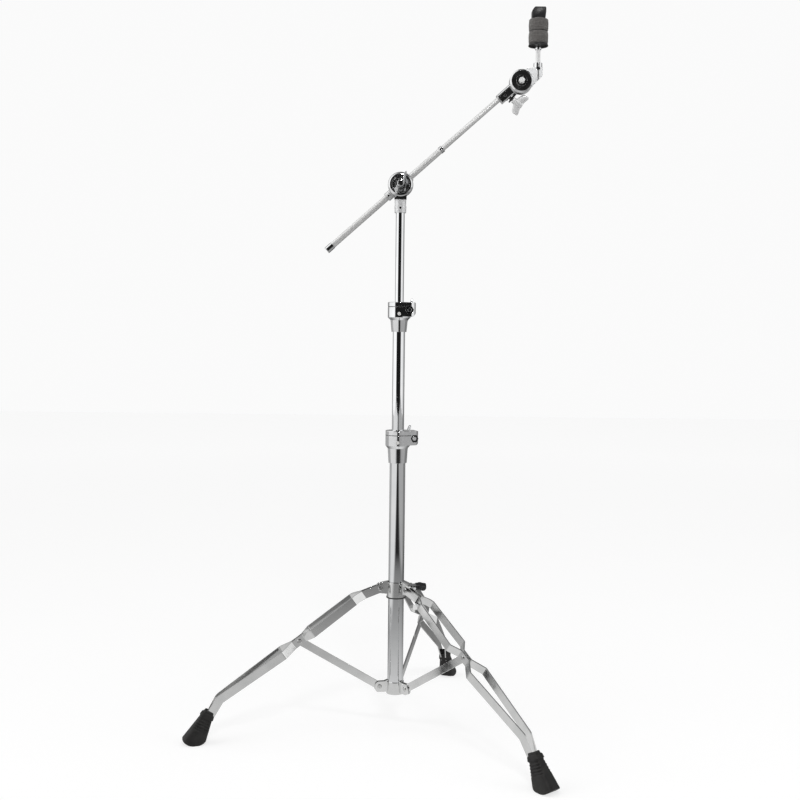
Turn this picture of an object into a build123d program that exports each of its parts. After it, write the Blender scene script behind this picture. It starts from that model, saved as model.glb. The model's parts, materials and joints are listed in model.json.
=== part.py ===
from build123d import *
import math
import os

# Cymbal boom stand, in millimetres. +Z is up and the origin lies on the floor, on the mast's axis.
# The boom and both tilters lie in planes of constant Y, and their wing nut faces -Y.

# ---- Driving dimensions -------------------------------------------------------------------
CLEAR = 0.35                # gap between pieces that slide or turn on each other
PIN_FIT = 0.08              # radial running fit of a rivet in the bar that turns on it
SHEET = 1.2                 # wall of the mast tubes

BASE_R = 14.3               # mast tubes: 28.6, 22.2 and 15.9 mm outside
MIDDLE_R = 11.1
TOP_R = 7.95

LEGS = {"left": 192.0, "right": 312.0, "back": 72.0}     # azimuth of each leg, in degrees
PIVOT_R = 30.0              # the legs' and struts' pivots on the two collars
UPPER_PIVOT_Z = 268.0
LOWER_PIVOT_Z = 86.0
MID_R = 177.5               # the joint of strut and leg, halfway between the collars
MID_Z = (UPPER_PIVOT_Z + LOWER_PIVOT_Z) / 2
LEG_SLOPE = 35.4            # mean slope of the leg's long stretches, in degrees
KNEE = (75.0, 252.0)        # where the leg bends down, as radius and height
ANKLE = (320.0, 79.0)       # where it turns steeply into the foot
TOE = (349.0, 28.0)         # its end, inside the rubber
BAR_WIDTH = 15.0
BAR_THICK = 2.3
STRUT_WIDTH = 13.5
STRUT_THICK = 3.0
RIVET_R = 3.0
EAR_THICK = 2.0

FOOT_TOP = (337.5, 57.0)    # the rubber foot's axis, as radius and height
FOOT_END = (366.0, 2.0)
SOLE_CENTRE_R = 362.0       # the convex sole rocks about this radius
SOLE_ARC = 33.0

BASE_TUBE_Z = (74.0, 528.0)
MIDDLE_TUBE_Z = (290.0, 760.0)
TOP_TUBE_Z = (495.0, 959.0)
CLAMP_AIM = 18.0            # azimuth of the lower clamp's ear

BOOM_ANGLE = 41.7           # the boom's rise above level
TILTER_Z = 998.5            # height of the boom tilter's pivot
BOOM_Y = 6.0                # the boom runs behind the tilter's front disc
BOOM_R = 5.55
ROD_R = 4.75
BOOM_TUBE_X = (-165.0, 98.8)
ROD_X = (66.0, 258.0)
HEAD_ALONG = 282.0          # the cymbal tilter's pivot, along the boom and across it
HEAD_ACROSS = -3.5
DISC_R = 22.7
HEAD_R = 20.8

POST_X = 29.6               # the cymbal post, from the cymbal tilter's pivot
POST_R = 4.0
FELT_R = 17.4
FELT_HEIGHT = 21.9
CUP_Z = 1246.3              # underside of the cup that carries the felts


# ---- Helpers ------------------------------------------------------------------------------
def disc(radius, low, high):
    """A round bar along Z between two heights."""
    return Pos(0, 0, (low + high) / 2) * Cylinder(radius, high - low)


def pipe(outer, inner, low, high):
    """A hollow round bar along Z between two heights."""
    return disc(outer, low, high) - disc(inner, low - 1, high + 1)


def cone(bottom, top, low, high):
    """A round taper along Z between two heights."""
    return Pos(0, 0, (low + high) / 2) * Cone(bottom, top, high - low)


def bar_y(radius, front, rear):
    """A round bar along Y between two depths."""
    return Pos(0, (front + rear) / 2, 0) * Rot(90, 0, 0) * Cylinder(radius, rear - front)


def bar_x(radius, start, end):
    """A round bar along X between two places."""
    return Pos((start + end) / 2, 0, 0) * Rot(0, 90, 0) * Cylinder(radius, end - start)


def block(x, y, z):
    """A box from three (low, high) pairs."""
    centre = Pos((x[0] + x[1]) / 2, (y[0] + y[1]) / 2, (z[0] + z[1]) / 2)
    return centre * Box(x[1] - x[0], y[1] - y[0], z[1] - z[0])


def hexagon(flats, low, high):
    """A hexagonal bar along Z between two heights, with chamfered corners."""
    bar = Pos(0, 0, low) * extrude(RegularPolygon(flats / 2, 6, major_radius=False), high - low)
    return bar & disc(flats / 2 * 1.11, low, high)


def plate_xz(points, front, rear, radius=0.0):
    """A flat plate in the XZ plane from its corners, with rounded corners, between two depths."""
    face = make_face(Polyline(*points, close=True))
    if radius:
        face = fillet(face.vertices(), radius)
    return Pos(0, rear, 0) * extrude(Plane.XZ * face, rear - front)


def ribbon(points, width, bend):
    """The face of a bent strip of constant width, with round ends, about a path of points."""
    path = FilletPolyline(*points, radius=bend)
    return make_face(offset(path, amount=width / 2, side=Side.BOTH))


def around(shape, azimuth):
    """A shape modelled on the +X side, turned to an azimuth about the mast."""
    return Rot(0, 0, azimuth) * shape


def wings(span, hub_r, height, tip_low, tip_high, thick, sweep=0.0):
    """A wing nut's solid on the Z axis, seated at zero, with rounded wings along X."""
    tip = span / 2
    wing = [
        (hub_r * 0.4, 2.5),
        (tip * 0.62, tip_low * 0.72),
        (tip - 1.0, tip_low),
        (tip, (tip_low + tip_high) / 2),
        (tip - 1.5, tip_high),
        (hub_r * 0.4, height - 1.5),
    ]
    blade = Pos(0, sweep, 0) * plate_xz(wing, -thick / 2, thick / 2, radius=1.2)
    return cone(hub_r, hub_r * 0.82, 0, height) + blade + Rot(0, 0, 180) * blade


# ---- Frames -------------------------------------------------------------------------------
BOOM_FRAME = Pos(0, 0, TILTER_Z) * Rot(0, -BOOM_ANGLE, 0)      # +X runs up along the boom
rise = math.radians(BOOM_ANGLE)
HEAD_X = HEAD_ALONG * math.cos(rise) - HEAD_ACROSS * math.sin(rise)
HEAD_Z = TILTER_Z + HEAD_ALONG * math.sin(rise) + HEAD_ACROSS * math.cos(rise)
HEAD_FRAME = Pos(HEAD_X, 0, HEAD_Z)                            # level, at the cymbal tilter
HEAD_BOOM_FRAME = BOOM_FRAME * Pos(HEAD_ALONG, 0, HEAD_ACROSS)
POST_FRAME = Pos(HEAD_X + POST_X, 0, 0)

nodes = {}


# ---- Base tube and the two leg collars ----------------------------------------------------
EAR_GAP = STRUT_THICK / 2 + 0.4         # half the gap between the lower collar's paired ears


def make_base():
    nodes["base_tube"] = pipe(BASE_R, BASE_R - SHEET, *BASE_TUBE_Z)
    shell_r = BASE_R + 1.9
    low, high = 72.0, 94.0
    body = disc(shell_r, low, high) - disc(BASE_R, BASE_TUBE_Z[0], high + 1)
    body -= disc(BASE_R - SHEET - 1.5, low - 1, BASE_TUBE_Z[0] + 1)
    outline = [(shell_r - 2, 75.5), (38.2, 75.5), (38.2, 95.0), (20.5, 95.0), (shell_r - 2, 97.5)]
    for azimuth in LEGS.values():
        for side in (-1, 1):
            inner = side * EAR_GAP
            outer = side * (EAR_GAP + EAR_THICK)
            ear = plate_xz(outline, min(inner, outer), max(inner, outer))
            ear = fillet(ear.edges().filter_by(Axis.Y).sort_by(Axis.X)[-2:], 7.0)
            body += around(ear, azimuth)
    for azimuth in LEGS.values():
        # the ears' roots stay outside the tube, and their rivet holes go through
        body -= around(Pos(PIVOT_R, 0, LOWER_PIVOT_Z) * bar_y(RIVET_R, -9, 9), azimuth)
    body -= disc(BASE_R, BASE_TUBE_Z[0], 110)
    nodes["lower_leg_collar"] = body
    head_from = EAR_GAP + EAR_THICK
    rivets = [
        around(Pos(PIVOT_R, 0, LOWER_PIVOT_Z) * rivet(head_from, 4.4), azimuth)
        for azimuth in LEGS.values()
    ]
    nodes["lower_collar_rivets"] = Compound(rivets)


def rivet(head_from, head_r, shank_r=RIVET_R):
    """A rivet along Y, with a low domed head on each side outside the stack that it holds."""
    dome = cone(head_r, head_r * 0.6, 0, 1.4)
    body = bar_y(shank_r, -head_from, head_from)
    body += Pos(0, head_from, 0) * Rot(-90, 0, 0) * dome
    body += Pos(0, -head_from, 0) * Rot(90, 0, 0) * dome
    return body


LUG_HALF = 2.5                          # half the thickness of the upper collar's lugs
COLLAR_Z = (251.5, 279.0)
COLLAR_R = 17.0
SCREW_AZIMUTH = LEGS["left"] + 180      # the collar's screw faces away from the left leg
SCREW_Z = 268.0


def make_leg_collar():
    low, high = COLLAR_Z
    liner_r = BASE_R + CLEAR
    body = pipe(COLLAR_R, liner_r + 1.0, low, high)
    lug = plate_xz([(15.0, 257.0), (36.5, 259.5), (36.5, 277.0), (15.0, 281.5)], -LUG_HALF, LUG_HALF)
    lug = fillet(lug.edges().filter_by(Axis.Y).sort_by(Axis.X)[-2:], 6.0)
    for azimuth in LEGS.values():
        body += around(lug, azimuth)
    boss = Pos(0, 0, SCREW_Z) * bar_x(7.5, 14.0, 29.0)
    body += around(boss, SCREW_AZIMUTH)
    for azimuth in LEGS.values():
        body -= around(Pos(PIVOT_R, 0, UPPER_PIVOT_Z) * bar_y(RIVET_R, -9, 9), azimuth)
    body -= disc(liner_r + 1.0, low - 1, high + 8)
    screw_axis = Pos(0, 0, SCREW_Z)
    body -= around(screw_axis * bar_x(4.0 + CLEAR, 14.0, 40.0), SCREW_AZIMUTH)
    nodes["upper_leg_collar"] = body
    liner = pipe(liner_r + 1.0, liner_r, low, high) + pipe(COLLAR_R + 0.9, liner_r, low - 1.9, low)
    liner -= around(screw_axis * bar_x(4.0 + CLEAR, 10.0, 20.0), SCREW_AZIMUTH)
    nodes["leg_collar_liner"] = liner
    head_from = LUG_HALF + 0.3 + BAR_THICK + 0.2
    rivets = [
        around(Pos(PIVOT_R, 0, UPPER_PIVOT_Z) * rivet(head_from, 4.8), azimuth)
        for azimuth in LEGS.values()
    ]
    nodes["upper_collar_rivets"] = Compound(rivets)
    # wing screw: a steel screw with a moulded plastic head that stands clear of the boss
    shank = bar_x(4.0, BASE_R + 0.4, 46.0) + bar_x(6.0, 30.0, 36.0)
    nodes["leg_collar_screw"] = around(screw_axis * shank, SCREW_AZIMUTH)
    knob = wings(34, 7.0, 20, 5.0, 16.5, 7.5) - disc(4.0, -1, 10)
    knob = Pos(36, 0, 0) * Rot(0, 90, 0) * Rot(0, 0, 90) * knob
    nodes["leg_collar_knob"] = around(screw_axis * Rot(6, 0, 0) * knob, SCREW_AZIMUTH)


# ---- Legs ---------------------------------------------------------------------------------
def along_leg(radius, height):
    """Distance from the middle joint along the leg's mean slope."""
    slope = math.radians(LEG_SLOPE)
    return (radius - MID_R) * math.cos(slope) - (height - MID_Z) * math.sin(slope)


def leg_bar():
    """One flat bar of the +X leg on its +Y side: the side outline cut by the plan outline."""
    side_path = [(PIVOT_R, UPPER_PIVOT_Z), KNEE, (MID_R, MID_Z), ANKLE, TOE]
    side = extrude(Plane.XZ * ribbon(side_path, BAR_WIDTH, 14), 30, both=True)
    at_collar = LUG_HALF + 0.3 + BAR_THICK / 2
    at_strut = STRUT_THICK / 2 + 0.4 + BAR_THICK / 2
    knee_z = (KNEE[1] - UPPER_PIVOT_Z) / (KNEE[0] - PIVOT_R)
    plan_path = [
        (along_leg(14, UPPER_PIVOT_Z - 16 * knee_z), at_collar),
        (along_leg(61, UPPER_PIVOT_Z + 31 * knee_z), at_collar),
        (along_leg(80, 248.3), 15.0),
        (along_leg(156, 192.7), 17.2),
        (along_leg(169, 183.2), at_strut),
        (along_leg(188, 169.8), at_strut),
        (along_leg(207, 156.5), 19.2),
        (along_leg(321, 78.0), 7.6),
        (along_leg(337, 50.0), 4.4),
        (along_leg(352, 18.0), 4.4),
    ]
    slope = math.radians(LEG_SLOPE)
    across = Plane(
        origin=(MID_R, 0, MID_Z),
        x_dir=(math.cos(slope), 0, -math.sin(slope)),
        z_dir=(math.sin(slope), 0, math.cos(slope)),
    )
    plan = extrude(across * ribbon(plan_path, BAR_THICK, 3.5), 90, both=True)
    bar = side & plan
    bar -= Pos(PIVOT_R, 0, UPPER_PIVOT_Z) * bar_y(RIVET_R + PIN_FIT, -30, 30)
    bar -= Pos(MID_R, 0, MID_Z) * bar_y(RIVET_R, -30, 30)
    return bar


def rubber_foot(bars):
    """A tapered boot about the leg's end, with a ribbed skirt and a convex sole."""
    run = FOOT_END[0] - FOOT_TOP[0]
    drop = FOOT_TOP[1] - FOOT_END[1]
    length = math.hypot(run, drop)
    frame = Plane(
        origin=(FOOT_TOP[0], 0, FOOT_TOP[1]),
        x_dir=(drop / length, 0, run / length),
        z_dir=(run / length, 0, -drop / length),
    )
    past = length + 14
    flare = past / length
    top = frame * RectangleRounded(17.5, 16.5, 3.5)
    end = frame.offset(past) * RectangleRounded(17.5 + 24.5 * flare, 16.5 + 17.0 * flare, 8)
    boot = loft([top, end])
    collar = extrude(frame.offset(5) * RectangleRounded(23.5, 20.0, 5), 7)
    boot += collar
    keep_above = Pos(SOLE_CENTRE_R, 0, SOLE_ARC - 0.5) * bar_y(SOLE_ARC, -30, 30)
    keep_above += block((300, 420), (-30, 30), (SOLE_ARC - 0.5, 90))
    boot &= keep_above & block((300, 420), (-30, 30), (0, 90))
    for bar in bars:
        boot -= bar
    return boot


def strut():
    """The flat bar from the lower collar's ears up to the leg's middle joint."""
    path = Line((PIVOT_R, LOWER_PIVOT_Z), (MID_R, MID_Z))
    outline = make_face(offset(path, amount=STRUT_WIDTH / 2, side=Side.BOTH))
    bar = extrude(Plane.XZ * outline, STRUT_THICK / 2, both=True)
    for place in ((PIVOT_R, LOWER_PIVOT_Z), (MID_R, MID_Z)):
        bar -= Pos(place[0], 0, place[1]) * bar_y(RIVET_R + PIN_FIT, -9, 9)
    return bar


def make_legs():
    bar = leg_bar()
    bars = [bar, mirror(bar, about=Plane.XZ)]
    foot = rubber_foot(bars)
    stay = strut()
    head_from = STRUT_THICK / 2 + 0.4 + BAR_THICK
    joint = Pos(MID_R, 0, MID_Z) * rivet(head_from, 4.6)
    for name, azimuth in LEGS.items():
        nodes[f"{name}_leg_bar_a"] = around(bars[0], azimuth)
        nodes[f"{name}_leg_bar_b"] = around(bars[1], azimuth)
        nodes[f"{name}_leg_rivet"] = around(joint, azimuth)
        nodes[f"{name}_rubber_foot"] = around(foot, azimuth)
        nodes[f"{name}_strut"] = around(stay, azimuth)


# ---- Height clamps and the sliding tubes --------------------------------------------------
def rounded_end(x, y, low_radius, high_radius):
    """A rectangle from (low, high) pairs, with rounded corners at its far end in X."""
    face = make_face(Polyline((x[0], y[0]), (x[1], y[0]), (x[1], y[1]), (x[0], y[1]), close=True))
    face = fillet(face.vertices().group_by(Axis.X)[-1].sort_by(Axis.Y)[0], low_radius)
    return fillet(face.vertices().group_by(Axis.X)[-1].sort_by(Axis.Y)[-1], high_radius)


def clamp_ear(low, high, front, rear, end):
    """The clamp's ear, level with the round body's front and rounded off towards its end."""
    plan = rounded_end((0, end), (-front, rear), 11.0, 3.0)
    side = rounded_end((0, end), (low, high), 8.0, 2.0)
    return extrude(plan, 1000) & extrude(Plane.XZ * side, 60, both=True)


def make_clamp(name, tube_r, inner_r, body_r, ear_x, screw_x, top, sleeve, cone_r, half, turn, aim):
    """A cast clamp on a tube's end: split body with a screw ear above a tapered sleeve.

    tube_r is the tube that the clamp is fixed on, inner_r the one that slides in it. The ear
    points to the azimuth aim, and the nub on the bushing always faces the front.
    """
    low = top - 27.5
    sleeve_low = top - sleeve
    front = body_r - 0.4
    body = fillet(disc(body_r, low, top).edges().group_by(Axis.Z)[-1], 1.2)
    body += cone(cone_r[0], body_r, low - 5.0, low)
    body += cone(cone_r[1], cone_r[0], sleeve_low, low - 5.0)
    body += clamp_ear(low + 1.5, top - 0.5, front, half, ear_x)
    body -= disc(tube_r, sleeve_low - 1, top - 1.5)
    body -= disc(inner_r + 1.0, top - 2, top + 1)
    # the vertical split through the ear, and the level slit that frees the clamping ring
    body -= block((inner_r, ear_x + 2), (-1.1, 1.1), (low - 6, top + 1))
    body -= block((-body_r - 2, body_r - 4), (-body_r - 2, body_r * 0.25), (top - 9.0, top - 7.9))
    screw_z = top - 14.0
    place = Pos(screw_x, 0, screw_z)
    body -= place * bar_y(4.0 + CLEAR, -front - 5, half + 9)
    body -= place * Pos(0, -front, 0) * Rot(-90, 0, 0) * hexagon(13.4, -15.0, 5.6)
    nub = Pos(0, 0, screw_z - 7.0)
    body -= around(nub * bar_y(3.0, -body_r - 5, 0), -aim)
    nodes[f"{name}_clamp_body"] = around(body, aim)

    # nylon bushing: a skirt inside the fixed tube, a collar above it and a nub that keys the clamp
    gap_r = inner_r + CLEAR
    tube_top = top - 29.0
    bushing = pipe(tube_r - SHEET, gap_r, tube_top - 30, tube_top)
    bushing += pipe(tube_r, gap_r, tube_top, top - 1.5)
    bushing += nub * bar_y(3.0, -body_r - 0.4, -gap_r - 0.5)
    nodes[f"{name}_clamp_bushing"] = bushing

    nut = hexagon(13.0, 0.8, 5.6) - disc(4.0 + PIN_FIT, -3, 6)
    nut = place * Pos(0, -front, 0) * Rot(-90, 0, 0) * nut
    nodes[f"{name}_clamp_nut"] = around(nut, aim)
    # wing screw from the rear: its hub and wings stand clear of the round body
    hub_r = 6.5
    hub_y = math.sqrt(body_r**2 - (screw_x - hub_r) ** 2) + 0.5
    reach = body_r + 1.0 - hub_y
    head = Rot(0, 0, turn) * wings(44, hub_r, reach + 11, reach, reach + 10, 4.5)
    screw = place * Pos(0, hub_y, 0) * Rot(-90, 0, 0) * head
    screw += place * bar_y(4.0, -front + 0.4, hub_y + 5)
    nodes[f"{name}_clamp_wing_screw"] = around(screw, aim)


def make_sliding_tube(name, radius, span, carrier_r):
    """A mast tube and the plastic plug that guides its lower end inside the tube below."""
    nodes[f"{name}_tube"] = pipe(radius, radius - SHEET, *span)
    plug = disc(carrier_r - SHEET - CLEAR, span[0] - 14, span[0] - 0.4)
    plug += disc(radius - SHEET - CLEAR, span[0] - 0.4, span[0] + 16)
    nodes[f"{name}_tube_end_plug"] = plug - disc(3.0, span[0] - 20, span[0] + 20)


def make_mast():
    sleeves = (18.3, 16.6), (15.6, 13.6)
    make_clamp("lower", BASE_R, MIDDLE_R, 22.5, 34.5, 25.0, 557.0, 59.0, sleeves[0], 10.5, -67, CLAMP_AIM)
    make_clamp("upper", MIDDLE_R, TOP_R, 20.6, 29.8, 18.6, 789.0, 53.5, sleeves[1], 9.5, -77, 0)
    make_sliding_tube("middle", MIDDLE_R, MIDDLE_TUBE_Z, BASE_R)
    make_sliding_tube("top", TOP_R, TOP_TUBE_Z, MIDDLE_R)


# ---- Boom tilter --------------------------------------------------------------------------
TILTER_FRONT = -14.0
TILTER_REAR = -4.0
SHAFT_R = 4.0
SLEEVE_END = 32.5           # how far the boom's sleeve reaches down the boom


def make_boom_tilter():
    pivot = Pos(0, 0, TILTER_Z)
    # base: socket on the top tube, and a front disc with a dished face inside a round shoulder
    # (the socket's rear half is cut down, so that the boom can swing past it)
    body = cone(10.3, 10.8, 949.0, 960.5)
    body += cone(10.8, 11.3, 960.5, 977.0) & block((-20, 20), (-20, TILTER_REAR), (950, 980))
    neck = [(-10.9, 972.0), (10.9, 972.0), (11.8, 990.0), (-11.8, 990.0)]
    body += plate_xz(neck, TILTER_FRONT + 2.4, TILTER_REAR)
    shell = bar_y(DISC_R, -13.1, TILTER_REAR)
    body += pivot * fillet(shell.edges().sort_by(Axis.Y)[0], 5.4)
    body += pivot * bar_y(15.8, TILTER_FRONT, -9.0)
    dish = cone(10.4, 15.0, 0, 1.2) - disc(9.6, -1, 4)
    body -= pivot * Pos(0, TILTER_FRONT + 1.1, 0) * Rot(90, 0, 0) * dish
    body -= disc(TOP_R, 940.0, TOP_TUBE_Z[1])
    body -= pivot * bar_y(SHAFT_R + CLEAR, -30, 30)
    body -= Pos(0, 0, 957.3) * bar_y(2.0, -20, 0)
    nodes["boom_tilter_base"] = body
    screw = bar_y(2.0, -10.2, -TOP_R) - bar_y(1.1, -11.0, -9.2)
    nodes["tilter_base_set_screw"] = Pos(0, 0, 957.3) * screw

    # holder: rear disc, the sleeve that the boom slides through, and the eye bolt's housing
    holder = bar_y(22.0, TILTER_REAR + 0.2, 2.0)
    sleeve = Pos(0, BOOM_Y, 0) * bar_x(8.0, -SLEEVE_END, 24.0)
    holder += sleeve & block((-40, 30), (TILTER_REAR + 0.2, 30), (-10, 10))
    holder += bar_y(13.0, 2.0, BOOM_Y + 9.5)
    holder -= bar_y(10.2, -1.0, 30.0)
    holder -= bar_y(SHAFT_R, -10.0, 5.0)
    holder -= Pos(0, BOOM_Y, 0) * bar_x(BOOM_R + CLEAR, -60, 60)
    hole_y = BOOM_Y - 8.0
    screw_x = SLEEVE_END - 3.7
    holder -= Pos(-screw_x, 0, 0) * bar_y(1.8, hole_y - 1, hole_y + 2.2)
    nodes["boom_holder"] = BOOM_FRAME * holder
    grub = bar_y(1.8, hole_y + 0.15, hole_y + 2.0) - bar_y(0.9, hole_y, hole_y + 1.0)
    nodes["boom_holder_set_screw"] = BOOM_FRAME * Pos(-screw_x, 0, 0) * grub
    eye = bar_y(10.2, -1.0, BOOM_Y + 8.5)
    eye -= Pos(0, BOOM_Y, 0) * bar_x(BOOM_R + CLEAR, -60, 60)
    eye += bar_y(SHAFT_R, TILTER_FRONT - 19.5, -1.0)
    nodes["boom_eye_bolt"] = BOOM_FRAME * eye
    washer = bar_y(9.0, TILTER_FRONT - 1.6, TILTER_FRONT) - bar_y(SHAFT_R + CLEAR, -30, 0)
    nodes["boom_tilter_washer"] = pivot * washer
    nut = wings(48, 7.0, 16, 6.0, 14.0, 4.2, sweep=1.0) - disc(SHAFT_R + PIN_FIT, -1, 17)
    nut = Pos(0, TILTER_FRONT - 1.9, 0) * Rot(90, 0, 0) * Rot(0, 0, 66.6) * nut
    nodes["boom_tilter_wing_nut"] = pivot * nut


# ---- Boom ---------------------------------------------------------------------------------
def make_boom():
    axis = BOOM_FRAME * Pos(0, BOOM_Y, 0)
    start, end = BOOM_TUBE_X
    tube = bar_x(BOOM_R, start, end) - bar_x(ROD_R, start - 1, end + 1)
    nodes["boom_tube"] = axis * tube
    ring = bar_x(BOOM_R + 0.9, end - 4.5, end + 1.5) - bar_x(BOOM_R, end - 5, end)
    ring -= bar_x(ROD_R, end - 1, end + 5)
    ring -= bar_x(BOOM_R + 2, end - 2.0, end - 1.0) - bar_x(BOOM_R + 0.4, end - 3, end)
    nodes["boom_stop_ring"] = axis * ring
    nodes["boom_rod"] = axis * bar_x(ROD_R, *ROD_X)
    cap = bar_x(6.3, start - 12, start + 3.0)
    cap = chamfer(cap.edges().sort_by(Axis.X)[0], 0.8)
    cap = cap - bar_x(BOOM_R + PIN_FIT, start - 0.2, start + 4)
    cap = cap + bar_x(ROD_R - PIN_FIT, start - 1, start + 8)
    nodes["boom_end_cap"] = axis * cap


# ---- Cymbal tilter ------------------------------------------------------------------------
LUG_ANGLE = 236.0           # the clamp lugs point down and towards the boom
HEAD_SCREW_R = 3.0
HEAD_SCREW_OUT = 33.0       # the clamp screw's distance from the pivot
ARM_REAR = -3.0


def make_cymbal_tilter():
    # body: rear disc, socket for the boom rod and a pair of lugs that the screw pulls together
    body = bar_y(HEAD_R, ARM_REAR + 0.3, 9.0)
    rod_z = -HEAD_ACROSS
    front = ARM_REAR + 0.4
    socket = block((-48.8, -12.0), (front, BOOM_Y + 8.0), (rod_z - 10.3, rod_z + 7.3))
    upper = socket.edges().filter_by(Axis.X).group_by(Axis.Z)[-1].sort_by(Axis.Y)
    socket = fillet(upper[0], 5.5)
    rest = socket.edges().filter_by(Axis.X).group_by(Axis.Z)[0]
    socket = fillet(rest, 1.5)
    body += socket
    hole = Pos(-37.5, 0, rod_z - 3.2)
    rod_hole = bar_x(ROD_R, -60.0, ROD_X[1] - HEAD_ALONG)
    lug_frame = HEAD_FRAME * Rot(0, -LUG_ANGLE, 0)         # +X out along the lugs
    lugs = plate_xz([(14, -6.5), (40, -4.3), (40, 4.3), (14, 6.5)], 0, 9.0, radius=2.0)
    lugs -= block((16, 45), (-5, 15), (-1.3, 1.3))
    screw_frame = lug_frame * Pos(HEAD_SCREW_OUT, 4.5, 0)
    body = HEAD_BOOM_FRAME * body + lug_frame * lugs
    body -= HEAD_BOOM_FRAME * Pos(0, BOOM_Y, rod_z) * rod_hole
    body -= HEAD_BOOM_FRAME * hole * bar_y(2.2, -20, BOOM_Y)
    body -= screw_frame * disc(HEAD_SCREW_R, -4.5, 0)
    body -= screw_frame * disc(HEAD_SCREW_R + CLEAR, 0, 20)
    body -= HEAD_FRAME * bar_y(SHAFT_R, -20, 20)
    nodes["cymbal_tilter_body"] = body
    grub = bar_y(2.2, front + 0.2, BOOM_Y - ROD_R) - bar_y(1.2, -4.0, front + 1.4)
    nodes["cymbal_tilter_set_screw"] = HEAD_BOOM_FRAME * hole * grub

    # arm: front disc with a bevelled rim, a web and the hub of the cymbal post
    arm = bar_y(HEAD_R, -9.5, ARM_REAR)
    arm += Pos(0, -9.5, 0) * Rot(90, 0, 0) * cone(HEAD_R, HEAD_R - 2.8, 0, 2.5)
    web = [(2.0, 20.4), (POST_X - 7.8, 24.5), (POST_X + 7.6, 24.5), (POST_X + 7.6, 10.0), (14.0, -14.8)]
    arm += plate_xz(web, -8.5, ARM_REAR)
    arm += Pos(POST_X, 0, 0) * disc(7.8, 21.5, 33.0)
    arm -= bar_y(SHAFT_R + CLEAR, -20, 5)
    arm -= Pos(POST_X, 0, 0) * disc(POST_R, 15, 40)
    arm -= Pos(POST_X, 0, 0) * block((-0.9, 0.9), (-20, -POST_R + 1), (25.5, 40))
    arm = arm - Pos(POST_X, 0, 0) * block((-20, 20), (-20, -7.9), (20, 40))
    nodes["cymbal_tilter_arm"] = HEAD_FRAME * arm
    bolt = bar_y(SHAFT_R, -13.4, 9.0) + bar_y(5.4, -16.6, -13.4) + bar_y(4.2, -17.4, -16.6)
    nodes["cymbal_tilter_pivot_bolt"] = HEAD_FRAME * bolt
    washer = bar_y(9.7, -13.2, -12.0) - bar_y(SHAFT_R + CLEAR, -20, 0)
    nodes["cymbal_tilter_washer"] = HEAD_FRAME * washer

    # stud set in the upper lug, and its wing nut under the lower one
    nodes["cymbal_tilter_clamp_stud"] = screw_frame * disc(HEAD_SCREW_R, -4.5, 25)
    nut = wings(38, 5.5, 20, 9.0, 23.0, 5.5) - disc(HEAD_SCREW_R + PIN_FIT, -1, 21)
    nodes["cymbal_tilter_wing_nut"] = screw_frame * Pos(0, 0, 6.0) * nut


# ---- Cymbal post --------------------------------------------------------------------------
def make_post():
    post_top = CUP_Z + 64.0
    nodes["cymbal_post"] = POST_FRAME * disc(POST_R, HEAD_Z + 18.0, post_top)
    hub = pipe(5.6, POST_R, CUP_Z - 6.0, CUP_Z + 1.2)
    nodes["post_stop_nut"] = POST_FRAME * hub
    cup = pipe(17.8, POST_R, CUP_Z + 1.2, CUP_Z + 3.4) + pipe(17.8, 15.6, CUP_Z, CUP_Z + 1.2)
    nodes["felt_cup"] = POST_FRAME * cup
    sleeve_r = 5.5
    felts_low = CUP_Z + 3.4
    felts_mid = felts_low + FELT_HEIGHT
    felts_top = felts_mid + FELT_HEIGHT
    nodes["post_sleeve"] = POST_FRAME * pipe(sleeve_r, POST_R, felts_low, felts_top - 1.5)
    felt = pipe(FELT_R, sleeve_r, felts_low, felts_mid)
    felt = fillet(felt.edges().filter_by(GeomType.CIRCLE).group_by(SortBy.RADIUS)[-1], 1.6)
    nodes["lower_felt"] = POST_FRAME * felt
    felt = pipe(FELT_R, sleeve_r + CLEAR, felts_mid, felts_top)
    felt = fillet(felt.edges().filter_by(GeomType.CIRCLE).group_by(SortBy.RADIUS)[-1], 1.6)
    nodes["upper_felt"] = POST_FRAME * felt
    # quick-release nut: an oblong block with a sloping shoulder on one side
    low, high = felts_top, felts_top + 20.5
    outline = [(-12.3, low), (-12.3, low + 14.5), (-7.5, high), (11.5, high), (12.3, low + 12), (11.0, low)]
    nut = plate_xz(outline, -9.5, 9.5, radius=1.0)
    nut -= disc(POST_R + CLEAR, low - 1, post_top + 0.8)
    nodes["cymbal_nut"] = POST_FRAME * nut


# ---- Build and write ----------------------------------------------------------------------
make_base()
make_leg_collar()
make_legs()
make_mast()
make_boom_tilter()
make_boom()
make_cymbal_tilter()
make_post()

os.makedirs("parts", exist_ok=True)
for node_name, shape in nodes.items():
    export_step(shape, f"parts/{node_name}.step")
print(len(nodes), "nodes written")
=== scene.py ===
import json
import math

import bmesh
import bpy
from mathutils import Matrix, Vector, noise


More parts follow.
